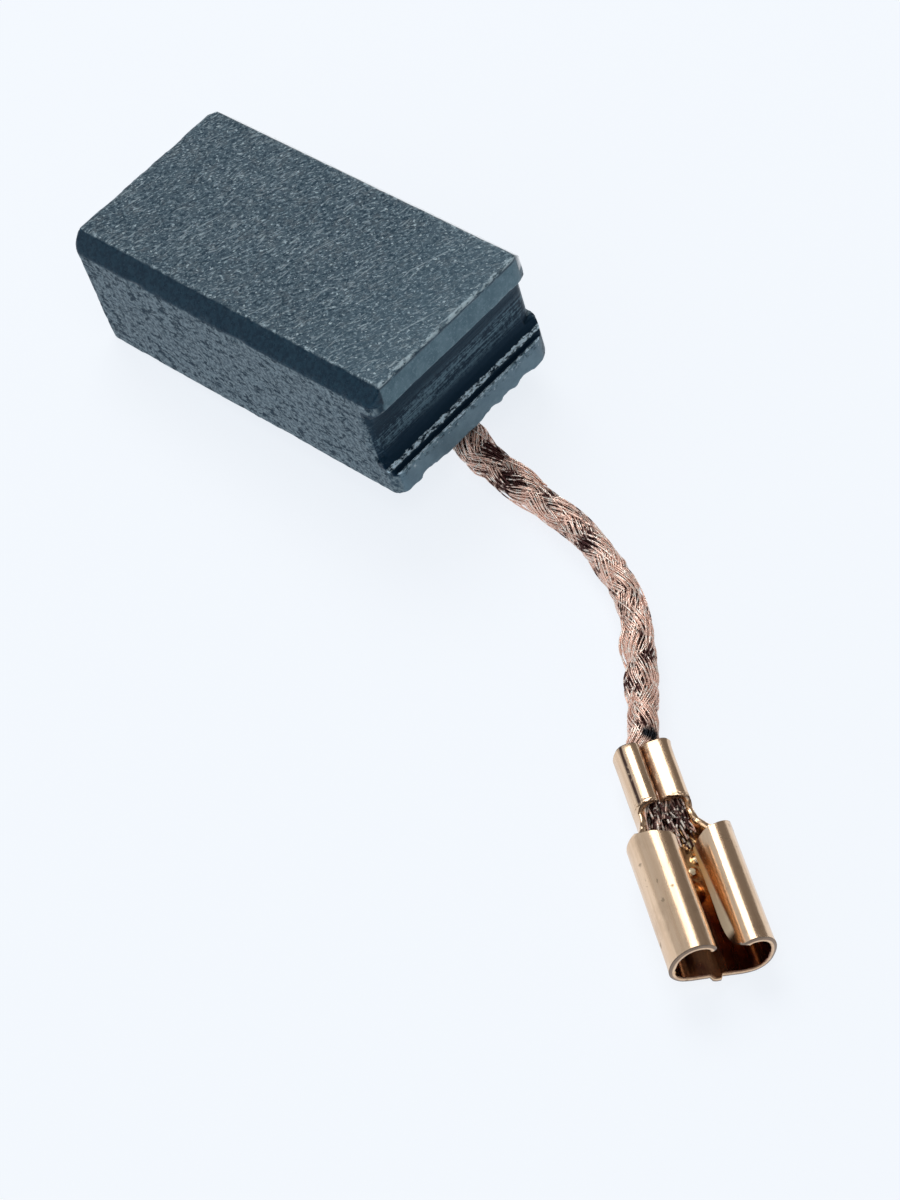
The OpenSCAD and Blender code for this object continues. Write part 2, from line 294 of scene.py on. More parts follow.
def carbon_sdf(P, full=True):
    x, y, z, plan, seat, cn = carbon_planes(P)
    d = smax(plan, z - H, 0.05)
    d = smax(d, -z, 0.06)
    d = smax(d, cn, 0.035)
    # seat, deeper where its far upright edge is worn round
    cx, cy = L - 0.66 - 0.62, W2 - 0.62
    worn = 0.62 - np.hypot(np.maximum(x - cx, 0), np.maximum(y - cy, 0))
    zone = np.clip((z - 1.15) / 0.3, 0, 1) * np.clip((3.95 - z) / 0.35, 0, 1)
    far = -np.where((x > cx) & (y > cy), worn, 1.0) - 3 * (1 - zone)
    cx2, cy2 = L - 0.66 - 0.3, W2 - 0.3
    worn2 = 0.3 - np.hypot(np.maximum(x - cx2, 0), np.maximum(-y - cy2, 0))
    near = -np.where((x > cx2) & (-y > cy2), worn2, 1.0) - 3 * (1 - zone)
    d = smax(d, -seat, 0.025)
    d = smax(d, np.maximum(far, near), 0.05)
    # far lower corner, knocked off
    kx = (x - (L - 0.2)) * K1[0] + (y - (W2 - 0.2)) * K1[1]
    s40, c40 = math.sin(math.radians(40)), math.cos(math.radians(40))
    knock = (kx + 1.2 * c40) * s40 - z * c40 - 0.66
    d = smax(d, knock, 0.25)
    # tamping hole
    hole = np.maximum(np.hypot(x - 12.2, y) - 1.25 - 0.06 * np.clip((0.12 - z) / 0.12, 0, 1), z - 3.0)
    d = smax(d, -hole, 0.04)
    if not full:
        return d
    near_surface = np.abs(d) < 0.4
    q = P[near_surface]
    e = d[near_surface].copy()
    # small breaks along the edges
    pl, zt, zb, ch, se = plan[near_surface], q[:, 2] - H, -q[:, 2], cn[near_surface], -seat[near_surface]
    stack = np.sort(np.stack([pl, zt, zb, ch, se], -1), 1)
    edge = np.exp(np.clip(stack[:, 3], -2, 0.05) / 0.1) * np.exp(-np.abs(stack[:, 4]) / 0.3)
    chip = np.clip(fbm(q * np.array([1.9, 1.9, 2.3]) + 5, 3, 3) - 0.52, 0, 1) * 2.4
    fine = np.clip(fbm(q * 5.5 + 9, 8, 2) - 0.5, 0, 1)
    soft = np.clip((q[:, 0] - 14.3) / 0.2, 0, 1) * np.clip((1.4 - q[:, 2]) / 0.2, 0, 1)
    low = np.clip((0.5 - q[:, 2]) / 0.3, 0, 1)
    e += edge * (0.05 * chip + 0.035 * fine) * (1 - 0.75 * soft) * (1 - 0.5 * low)
    for cxx, cyy, czz, rx, ry, rz in CHIPS:
        r = np.array([rx, ry, rz])
        k = (q - np.array([cxx, cyy, czz])) / r
        m = np.abs(k).max(1) < 1.8
        if m.any():
            wob = 0.35 * (vnoise(q[m] * 6.5 + 31, 11) - 0.5)
            dist = (np.sqrt((k[m] ** 2).sum(1)) - 1 + wob) * r.min()
            e[m] = smax(e[m], -dist, 0.03)
    # slight waviness of the ground and pressed faces
    e += 0.012 * (fbm(q * 0.8, 21, 2) - 0.5)
    side = np.clip((np.abs(q[:, 1]) - 3.85) / 0.1, 0, 1)
    pit = np.clip(fbm(q * np.array([2.2, 4, 4.6]) + 3, 33, 3) - 0.6, 0, 1)
    e += side * 0.11 * pit * np.clip((4.15 - q[:, 2]) / 0.1, 0, 1) * np.clip((q[:, 2] - 0.15) / 0.1, 0, 1)
    top = np.clip((q[:, 2] - 4.9) / 0.08, 0, 1) + np.clip((0.1 - q[:, 2]) / 0.08, 0, 1)
    pit = np.clip(fbm(q * 4.2 + 13, 41, 3) - 0.62, 0, 1)
    e += top * 0.06 * pit
    rub = np.clip((q[:, 0] - 14.25) / 0.1, 0, 1) * np.clip((q[:, 2] - 1.25) / 0.2, 0, 1) * np.clip((4.0 - q[:, 2]) / 0.2, 0, 1)
    e += rub * 0.035 * (fbm(q * np.array([5, 0.5, 9]), 51, 2) - 0.5)
    d = d.copy()
    d[near_surface] = e
    return d


xs = spaced((-0.42, 0.3, 0.08), (0.3, 13.7, 0.125), (13.7, 14.25, 0.08), (14.25, 15.2, 0.034))
ys = spaced((-4.2, -3.2, 0.065), (-3.2, 3.2, 0.11), (3.2, 4.24, 0.065))
zs = spaced((-0.12, 0.35, 0.06), (0.35, 0.85, 0.08), (0.85, 1.3, 0.03), (1.3, 3.7, 0.085), (3.7, 4.1, 0.06),
            (4.1, 5.16, 0.07))
V, Q = surface_net(carbon_sdf, xs, ys, zs)
# the lowest edge stands on the table: nothing goes under it
R = block_to_row(V)
R[:, 2] = np.maximum(R[:, 2], 0.0)
carbon = mesh_object("carbon_block_ground", R, Q)
x, y, z, plan, seat, cn = carbon_planes(V)
stack = np.sort(np.stack([plan, z - H, -z, cn, -seat], -1), 1)
edge = np.exp(np.clip(stack[:, 3], -2, 0) / 0.09)
ridge = np.exp(-(((V[:, 0] - 14.72) / 0.07) ** 2 + ((V[:, 2] - 1.1) / 0.07) ** 2))
is_top = np.clip((z - 4.86) / 0.08, 0, 1)
in_seat = np.exp(-(np.abs(seat) / 0.06) ** 2) * np.clip((x - 13.9) / 0.2, 0, 1) * (plan < -0.06)
in_seat = np.clip(in_seat * 1.3, 0, 1) * np.clip((z - 1.05) / 0.1, 0, 1)
lip = np.clip((x - 14.8) / 0.12, 0, 1) * (np.abs(plan) < 0.12) * (1 - in_seat)
cham = np.exp(-(cn / 0.05) ** 2) * (1 - is_top) * np.clip((z - 4.2) / 0.1, 0, 1)
put(carbon, "block", V)
put(carbon, "edge", edge)
put(carbon, "ridge", ridge)
put(carbon, "top", is_top * (1 - edge * 0.3))
put(carbon, "seat", in_seat)
put(carbon, "lip", lip)
put(carbon, "chamfer", np.clip(cham * 1.4, 0, 1))
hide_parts("carbon_block")
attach(carbon, "root")


# ------------------------------------------------------------------ tamped powder
def powder_sdf(P):
    r = np.hypot(P[:, 0] - 12.2, P[:, 1])
    face = 0.45 + 0.16 * (fbm(P * 2.6 + 40, 61, 3) - 0.5) + 0.12 * np.exp(-((r - 1.25) / 0.12) ** 2) \
        - 0.14 * np.exp(-((r - 0.6) / 0.2) ** 2)
    face = np.maximum(face, 0.28)
    d = np.maximum(face - P[:, 2], P[:, 2] - 1.3)
    return smax(d, r - 1.256, 0.03)


V, Q = surface_net(powder_sdf, spaced((10.8, 13.6, 0.05)), spaced((-1.4, 1.4, 0.05)), spaced((0.14, 0.8, 0.045), (0.8, 1.4, 0.15)))
powder = mesh_object("tamped_powder_rough", block_to_row(V), Q)
put(powder, "block", V)
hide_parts("tamped_powder")
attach(powder, "root")

# ------------------------------------------------------------------ shunt
# centre (row mm), half width, half height, roll in degrees: the route of the part's own shunt
route = []
for zz in (1.7, 1.05, 0.45):
    route.append((block_to_row([12.2, 0, zz]), 0.58, 0.58, 0))
bend_o = block_to_row([13.2, 0, 0.3])
for i in range(6):
    a = math.radians(186 + i * 84 / 5)
    route.append((bend_o + np.array([math.cos(a), 0, math.sin(a)]), 0.6 + 0.02 * i, 0.58 - 0.005 * i, 0))
for p, hw, hh, g in (
        ((13.7, -0.1, 0.67), 0.68, 0.56, 0), ((14.4, -0.3, 0.66), 0.66, 0.55, 0), ((15.3, -0.6, 0.66), 0.63, 0.55, 0),
        ((16.3, -0.75, 0.66), 0.57, 0.54, 0), ((17.5, -0.85, 0.68), 0.53, 0.52, 0), ((18.8, -0.93, 0.7), 0.51, 0.5, 0),
        ((20.1, -1.1, 0.72), 0.5, 0.5, 0), ((21.4, -1.44, 0.74), 0.5, 0.5, 0), ((22.7, -1.98, 0.76), 0.5, 0.5, 2),
        ((23.9, -2.72, 0.78), 0.5, 0.5, 5), ((24.92, -3.62, 0.79), 0.52, 0.5, 8), ((25.86, -4.62, 0.8), 0.54, 0.5, 11),
        ((26.7, -5.62, 0.81), 0.52, 0.49, 14)):
    route.append((np.array(p) - np.array([OX, 0, 0]), hw, hh, g))
for p, hw, hh in (((-8.55, 0.13, 0.70), 0.53, 0.46), ((-8.1, -0.06, 0.62), 0.56, 0.37), ((-7.2, -0.09, 0.59), 0.6, 0.31)):
    route.append((rec_to_row(np.array(p)), hw, hh, 17.5))
RC = np.array([r[0] for r in route])
RW = np.array([[r[1], r[2], r[3]] for r in route])
chord = np.concatenate([[0], np.cumsum(np.linalg.norm(np.diff(RC, axis=0), axis=1))])


def spline(t, T, Y):
    """Cubic Hermite through Y at T with averaged slopes."""
    Y = np.asarray(Y, float)
    if Y.ndim == 1:
        Y = Y[:, None]
    dT = np.diff(T)
    s = np.diff(Y, axis=0) / dT[:, None]
    m = np.empty_like(Y)
    m[0], m[-1] = s[0], s[-1]
    m[1:-1] = (s[:-1] * dT[1:, None] + s[1:] * dT[:-1, None]) / (dT[1:] + dT[:-1])[:, None]
    i = np.clip(np.searchsorted(T, t, side="right") - 1, 0, len(T) - 2)
    h = dT[i]
    u = ((t - T[i]) / h)[:, None]
    h = h[:, None]
    return ((1 + 2 * u) * (1 - u) ** 2 * Y[i] + u * (1 - u) ** 2 * h * m[i]
            + u * u * (3 - 2 * u) * Y[i + 1] + u * u * (u - 1) * h * m[i + 1])


def frames(t):
    C = spline(t, chord, RC)
    D = spline(t + 0.01, chord, RC) - spline(t - 0.01, chord, RC)
    D /= np.linalg.norm(D, axis=1)[:, None]
    U = -np.cross([0, 1, 0], D)
    U /= np.linalg.norm(U, axis=1)[:, None]
    Sd = np.cross(D, U)
    w = spline(t, chord, RW)
    g = np.radians(w[:, 2])[:, None]
    u = np.cos(g) * U - np.sin(g) * Sd
    v = np.cos(g) * Sd + np.sin(g) * U
    return C, u, v, w[:, 0], w[:, 1]


tubes = []           # (points, radius, shade, length along)


def smooth_random(n, step, amp, rng):
    """A slow random wander of n samples."""
    m = max(4, int(n / step) + 3)
    k = rng.normal(0, 1, m)
    t = np.linspace(1, m - 2.001, n)
    i = t.astype(int)
    f = t - i
    f = f * f * (3 - 2 * f)
    return amp * (k[i] * (1 - f) + k[i + 1] * f)


PITCH = 7.4
END = chord[-1]
T = np.arange(0.0, END, 0.17)
C, U, Vv, HW, HH = frames(T)
WR = 0.0285          # wire radius
for way in (1, -1):
    for k in range(4):
        base = 2 * math.pi * k / 4 + (0 if way > 0 else math.pi / 4) + 0.5
        drift = smooth_random(len(T), 9, 0.17, RNG)
        swell = 1 + smooth_random(len(T), 8, 0.07, RNG)
        tight = smooth_random(len(T), 8, 0.04, RNG)
        for layer, m in ((0, 9), (1, 6)):
            for j in range(m):
                lat = (j - (m - 1) / 2) * (0.078 if layer == 0 else 0.105)
                lat = lat * swell + smooth_random(len(T), 4, 0.030, RNG)
                lens = 1 - (lat / 0.36) ** 2
                rad = 0.83 + way * 0.085 * np.cos(8 * math.pi * T / PITCH) + tight
                rad = rad + 0.05 * lens - (0.12 if layer else 0) + smooth_random(len(T), 3, 0.022, RNG)
                ang = base + way * 2 * math.pi * T / PITCH + drift + lat / 0.42
                # looser by the block, where the plait fans out
                rad = rad * (1 + 0.03 * np.exp(-((T - 4.4) / 1.2) ** 2))
                P = C + (HW * rad * np.cos(ang))[:, None] * Vv + (HH * rad * np.sin(ang))[:, None] * U
                # painted shade: wires lying deeper in the plait get a lower shade value, darker in the wire material
                shade = np.clip((rad - 0.66) / 0.28, 0, 1)
                tubes.append((P, np.full(len(T), WR), shade, T, rad))
plain = len(tubes)


# loose wires that stand out of the plait
def stray(t0, t1, a0, a1, out, n=14, lift=0.0, r0=0.026):
    t = np.linspace(t0, t1, n)
    C2, u2, v2, w2, h2 = frames(t)
    f = np.linspace(0, 1, n)
    ang = math.radians(a0) + math.radians(a1 - a0) * f
    r = 0.98 + out * np.sin(math.pi * f) ** 1.3
    P = C2 + (w2 * r * np.cos(ang))[:, None] * v2 + (h2 * r * np.sin(ang) + lift * f)[:, None] * u2
    tubes.append((P, np.full(n, r0), np.full(n, 0.85), t, r))


for s in range(30):
    t0 = RNG.uniform(3.6, END - 4.2)
    a0 = RNG.uniform(-10, 190)
    stray(t0, t0 + RNG.uniform(1.0, 2.6), a0, a0 + RNG.choice([-1, 1]) * RNG.uniform(20, 70), RNG.uniform(0.02, 0.16))

for t0, t1, a0, a1, out in ((5.9, 7.7, 125, 168, 0.20), (6.1, 7.8, 135, 175, 0.16), (6.3, 7.9, 130, 165, 0.22),
                            (6.4, 7.7, 150, 180, 0.14), (6.2, 8.0, 115, 160, 0.12),
                            (14.7, 16.3, 22, -4, 0.34), (14.9, 16.2, 14, -12, 0.28), (15.0, 16.4, -20, 6, 0.22), (14.8, 16.0, 34, 8, 0.24),
                            (16.4, 17.4, 24, -6, 0.16), (16.8, 17.7, 8, 34, 0.13), (17.0, 17.8, -6, 14, 0.12), (4.2, 5.6, 96, 128, 0.18)):
    stray(t0, t1, a0, a1, out, r0=0.033)

# wires cut off just past the crimp, on their way to the receptacle
for s in range(74):
    b = RNG.uniform(-0.66, 0.56)
    n0 = RNG.uniform(0.4, 1.0)
    run = RNG.uniform(0.45, 1.5) * (1 - 0.25 * (n0 > 0.85))
    spread = RNG.normal(0, 0.2)
    drop = RNG.uniform(-0.1, 0.45)
    f = np.linspace(0, 1, 9)
    P = np.stack([-6.35 + (run + 0.4) * f, b - 0.02 + spread * f ** 2 + b * 0.3 * f,
                  np.maximum(n0 - drop * f ** 2 * (n0 - 0.3), 0.3) + 0.04 * np.sin(5 * f + s)], -1)
    P[:, 1] = np.clip(P[:, 1], -0.78, 0.72)
    tubes.append((rec_to_row(P), np.full(9, 0.041), np.full(9, RNG.choice([0.05, 0.3, 0.6, 1.0])), 30 + s * 3 + 2 * f, f))


def tube_mesh(tubes, sides=4):
    Vs, Fs, shade, along, wire = [], [], [], [], []
    off = 0
    ca = np.cos(np.arange(sides) * 2 * math.pi / sides)
    sa = np.sin(np.arange(sides) * 2 * math.pi / sides)
    for n_t, (P, r, sh, t, rad) in enumerate(tubes):
        n = len(P)
        D = np.gradient(P, axis=0)
        D /= np.linalg.norm(D, axis=1)[:, None]
        a = np.cross(D, np.array([0.31, 0.2, 0.93]))
        bad = np.linalg.norm(a, axis=1) < 0.15
        a[bad] = np.cross(D[bad], np.array([0.9, -0.4, 0.1]))
        a /= np.linalg.norm(a, axis=1)[:, None]
        for i in range(1, n):           # carried along, so that the tube doesn't twist
            q = a[i - 1] - D[i] * (a[i - 1] @ D[i])
            a[i] = q / np.linalg.norm(q)
        b = np.cross(D, a)
        ring = P[:, None, :] + r[:, None, None] * (ca[None, :, None] * a[:, None, :] + sa[None, :, None] * b[:, None, :])
        tips = np.stack([P[0] - D[0] * r[0] * 0.5, P[-1] + D[-1] * r[-1] * 0.5])
        Vs.append(ring.reshape(-1, 3))
        Vs.append(tips)
        i, k = np.meshgrid(np.arange(n - 1), np.arange(sides), indexing="ij")
        k2 = (k + 1) % sides
        Fs += (np.stack([i * sides + k, i * sides + k2, (i + 1) * sides + k2, (i + 1) * sides + k], -1).reshape(-1, 4) + off).tolist()
        for k in range(sides):
            k2 = (k + 1) % sides
            Fs.append([off + n * sides, off + k2, off + k])
            Fs.append([off + n * sides + 1, off + (n - 1) * sides + k, off + (n - 1) * sides + k2])
        off += n * sides + 2
        shade.append(np.concatenate([np.repeat(sh, sides), [sh[0], sh[-1]]]))
        al = np.asarray(t, float)
        along.append(np.concatenate([np.repeat(al, sides), [al[0], al[-1]]]))
        wire.append(np.full(n * sides + 2, (n_t * 0.61803) % 1))
    return np.concatenate(Vs), Fs, np.concatenate(shade), np.concatenate(along), np.concatenate(wire)


V, F, shade, along, wire = tube_mesh(tubes)
V[:, 2] = np.maximum(V[:, 2], 0.02)
braid = mesh_object("plaited_shunt", V, F)
put(braid, "shade", shade)
put(braid, "along", along)
put(braid, "wire", wire)
# a small dark spot among the wires, just above the crimp
Cd, ud, vd, wd, hd = frames(np.array([19.12]))
dark_spot = Cd[0] - 0.33 * wd[0] * vd[0] + 0.9 * hd[0] * ud[0]
put(braid, "dark_spot", np.clip((0.33 - np.linalg.norm(V - dark_spot, axis=1)) / 0.06, 0, 1))
# the wires in the middle of the plait, painted near-black as shade, which only show as dark gaps between the others
core_t = np.arange(0.1, END - 0.2, 0.3)
C2, u2, v2, w2, h2 = frames(core_t)
ang = np.arange(10) * 2 * math.pi / 10
ring = C2[:, None, :] + (w2[:, None] * 0.68 * np.cos(ang))[..., None] * v2[:, None, :] \
    + (h2[:, None] * 0.68 * np.sin(ang))[..., None] * u2[:, None, :]
n = len(core_t)
F = [list(range(9, -1, -1)), [(n - 1) * 10 + k for k in range(10)]]
F += [[i * 10 + k, i * 10 + (k + 1) % 10, (i + 1) * 10 + (k + 1) % 10, (i + 1) * 10 + k] for i in range(n - 1) for k in range(10)]
core = mesh_object("shunt_inner_wires", ring.reshape(-1, 3), F)
for o in (braid, core):
    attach(o, "root")
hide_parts("shunt_braid")

# ------------------------------------------------------------------ receptacle
SHEET = 0.21


def curve(points, n=240):
    """A smooth line through the points as (n, 2), evenly along its length, and its length."""
    p = np.array(points, float)
    t = np.concatenate([[0], np.cumsum(np.linalg.norm(np.diff(p, axis=0), axis=1))])
    q = spline(np.linspace(0, t[-1], 1500), t, p)
    ln = np.concatenate([[0], np.cumsum(np.linalg.norm(np.diff(q, axis=0), axis=1))])
    e = np.linspace(0, ln[-1], n)
    return np.stack([np.interp(e, ln, q[:, 0]), np.interp(e, ln, q[:, 1])], -1), ln[-1]


BODY_R, LBR = curve([(0, .125), (.5, .125), (.9, .13), (1.2, .2), (1.42, .38), (1.55, .66), (1.58, .98), (1.54, 1.3),
                     (1.43, 1.57), (1.27, 1.75), (1.06, 1.83), (.85, 1.82), (.67, 1.74), (.55, 1.58), (.46, 1.38),
                     (.39, 1.18), (.33, 1.02)])
BODY_L, LBL = curve([(0, .125), (-.5, .125), (-.9, .13), (-1.2, .2), (-1.42, .38), (-1.55, .66), (-1.58, .98),
                     (-1.53, 1.3), (-1.38, 1.58), (-1.16, 1.77), (-.90, 1.84), (-.66, 1.81), (-.49, 1.69), (-.42, 1.48),
                     (-.41, 1.18), (-.43, .88)])
CRIMP_R, LCR = curve([(0, .125), (.25, .125), (.45, .135), (.63, .2), (.76, .35), (.805, .57), (.805, .80), (.795, .97),
                      (.745, 1.12), (.63, 1.225), (.46, 1.23), (.28, 1.18), (.13, 1.12), (.05, 1.06), (.015, .98), (.01, .88)])
CRIMP_L, LCL = curve([(0, .125), (-.25, .125), (-.45, .135), (-.63, .2), (-.76, .35), (-.805, .57), (-.805, .80),
                      (-.78, .95), (-.72, 1.05), (-.6, 1.13), (-.45, 1.17), (-.33, 1.15), (-.25, 1.08), (-.215, .99), (-.21, .9)])


def on(path, length, ell):
    f = np.clip(ell / length, 0, 1) * (len(path) - 1)
    i = np.minimum(f.astype(int), len(path) - 2)
    f = (f - i)[..., None]
    return path[i] * (1 - f) + path[i + 1] * f


SROWS = spaced((-8.1, -7.95, 0.03), (-7.95, -6.2, 0.07), (-6.2, -5.6, 0.022), (-5.6, -4.9, 0.05), (-4.9, -3.96, 0.022),
               (-3.96, -1.2, 0.07), (-1.2, -0.36, 0.045), (-0.36, 0.0, 0.02))
HALF = 66
EDGE_S = np.array([-8.2, -5.99, -5.955, -5.9, -5.82, -5.65, -5.2, -4.85, -4.66, -4.52, -4.26, -4.13, -4.03])
MOUTH_S = np.array([-1.2, -0.9, -0.6, -0.32, -0.14, -0.04, 0.0])


def edge_len(s, lc, lb):
    e = np.interp(s, EDGE_S, [lc, lc, lc - 0.25, 2.1, 1.6, 1.42, 1.5, 1.8, 2.2, 2.6, 3.45, lb - 0.4, lb])
    return e - np.interp(s, MOUTH_S, [0, 0.03, 0.12, 0.30, 0.50, 0.66, 0.76])


u = np.linspace(0, 1, HALF + 1) ** 0.92
grid, arc = [], []
for s in SROWS:
    w = np.clip((s + 5.62) / 1.12, 0, 1) ** 1.7
    w = w * w * (3 - 2 * w) * 0.5 + w * 0.5
    rows = []
    for sign, PB, LB, PC, LC in ((-1, BODY_L, LBL, CRIMP_L, LCL), (1, BODY_R, LBR, CRIMP_R, LCR)):
        ell = u * edge_len(s, LC, LB)
        c = on(PC, LC, ell) + np.array([-0.09, 0])
        b = on(PB, LB, ell)
        m = c * (1 - w) + b * w
        # the right lip leans in at the mouth and away at the back
        if sign > 0:
            lipf = np.clip((ell - 3.4) / (LB - 3.4), 0, 1) * w
            m[:, 0] += lipf * np.interp(s, [-4.2, -2.4, -0.6, 0], [0.04, 0.05, 0.04, 0.02])
        else:
            lipf = np.clip((ell - 3.4) / (LB - 3.4), 0, 1) * w
            m[:, 0] += lipf * np.interp(s, [-4.2, -2.4, 0], [0.03, 0.0, 0.02])
        # slight bell where wires and tab go in
        bell = 0.012 * np.exp((s - 0) / 0.16) + 0.05 * np.exp((-8.1 - s) / 0.14)
        cen = np.array([0, 0.95]) if s > -5 else np.array([-0.09, 0.7])
        rr = m - cen
        m = cen + rr * (1 + bell * np.clip((ell[:, None] - 0.8) / 0.8, 0, 1))
        ss = np.full(len(ell), s)
        # the stub left by the carrier
        nib = np.clip((0.16 - np.abs(m[:, 0] + 0.03)) / 0.04, 0, 1) * (ell < 0.6)
        ss = ss + 0.14 * nib * np.clip((s + 0.045) / 0.045, 0, 1)
        # locking dimple in the floor
        dd = np.hypot(s + 2.95, m[:, 0] - 0.02)
        m[:, 1] = m[:, 1] + (ell < 1.0) * 0.17 * np.clip(1 - (dd / 0.46) ** 2, 0, 1) ** 0.8
        # the floor is crumpled where it was pressed behind the dimple
        for s1, b1, r1, h1 in ((-4.69, 0.59, 0.2, 0.10), (-4.12, 0.62, 0.16, 0.09), (-3.70, 0.35, 0.16, 0.09), (-3.75, -0.1, 0.26, 0.10), (-3.3, -0.3, 0.2, 0.07)):
            m[:, 1] += (ell < 1.15) * h1 * np.exp(-((s - s1) ** 2 + (m[:, 0] - b1) ** 2) / (0.5 * r1 * r1))
        row = np.stack([ss, m[:, 0], m[:, 1]], -1)
        rows.append(row if sign > 0 else row[::-1])
        if sign < 0:
            arc_l = -ell[::-1]
    grid.append(np.concatenate([rows[0][:-1], rows[1]]))
    arc.append(np.concatenate([arc_l[:-1], ell]))
G = np.array(grid)                    # rows along s, columns round the section
ARC = np.array(arc)
ns, nu = G.shape[:2]
du = np.gradient(G, axis=1)
dv = np.gradient(G, axis=0)
N = np.cross(du, dv)
N /= np.maximum(np.linalg.norm(N, axis=2), 1e-12)[..., None]
# the base's normal points down, away from the wires and the tab
if N[ns // 2, nu // 2, 2] > 0:
    N = -N
dents = 0.012 * (fbm(G.reshape(-1, 3) * 1.1 + 70, 71, 2).reshape(ns, nu) - 0.5)
G = G + dents[..., None] * N
bev = 0.045
half = SHEET / 2
loop = [(0, j) for j in range(nu)] + [(i, nu - 1) for i in range(1, ns)] \
    + [(ns - 1, j) for j in range(nu - 2, -1, -1)] + [(i, 0) for i in range(ns - 2, 0, -1)]
lp = np.array([G[i, j] for i, j in loop])
ln = np.array([N[i, j] for i, j in loop])
tang = np.roll(lp, -1, 0) - np.roll(lp, 1, 0)
tang /= np.linalg.norm(tang, axis=1)[:, None]
outw = np.cross(tang, ln)
outw /= np.linalg.norm(outw, axis=1)[:, None]
centre_pull = np.array([G[min(max(i, 1), ns - 2), min(max(j, 1), nu - 2)] for i, j in loop]) - lp
if (outw * centre_pull).sum(1).mean() > 0:
    outw = -outw
A = G + half * N                       # outer side
B = G - half * N                       # inner side
for q, (i, j) in enumerate(loop):
    A[i, j] = lp[q] + half * ln[q] - bev * outw[q] * 0.5
    B[i, j] = lp[q] - half * ln[q] - bev * outw[q] * 0.5
rim1 = lp + (half - bev) * ln + bev * outw * 0.5
rim2 = lp - (half - bev) * ln + bev * outw * 0.5
V = np.concatenate([A.reshape(-1, 3), B.reshape(-1, 3), rim1, rim2])
na = ns * nu
gi = np.arange(na).reshape(ns, nu)
qa = np.stack([gi[:-1, :-1], gi[:-1, 1:], gi[1:, 1:], gi[1:, :-1]], -1).reshape(-1, 4)
qb = qa[:, ::-1] + na
li = np.array([i * nu + j for i, j in loop])
m = len(loop)
k = np.arange(m)
k2 = (k + 1) % m
r1, r2 = 2 * na + k, 2 * na + m + k
r1n, r2n = 2 * na + k2, 2 * na + m + k2
rimq = np.concatenate([
    np.stack([li[k2], li[k], r1, r1n], -1), np.stack([r1n, r1, r2, r2n], -1), np.stack([r2n, r2, li[k] + na, li[k2] + na], -1)])
Fq = np.concatenate([qa, qb, rimq])
Rv = rec_to_row(V)
Rv[:, 2] = np.maximum(Rv[:, 2], 0.005)
brass = mesh_object("folded_receptacle", Rv, Fq)
import bmesh
bm = bmesh.new()
bm.from_mesh(brass.data)
bmesh.ops.recalc_face_normals(bm, faces=bm.faces)
bm.to_mesh(brass.data)
bm.free()
inner = np.concatenate([np.zeros(na), np.ones(na), np.zeros(m), np.full(m, 0.2)])
# 1 on the outer corner of the cut edge, 0 across the rest of it
rim = np.concatenate([np.zeros(2 * na), np.ones(m), np.zeros(m)])
rim[li] = 0.9
arc_all = np.concatenate([ARC.ravel(), ARC.ravel(), ARC.ravel()[li], ARC.ravel()[li]])
put(brass, "rec", V)
put(brass, "inner", inner)
put(brass, "rim", rim)
put(brass, "arc", arc_all)
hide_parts("receptacle_terminal")
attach(brass, "root")


LIP0, LIP1 = LBR - 0.62, LBR - 0.50


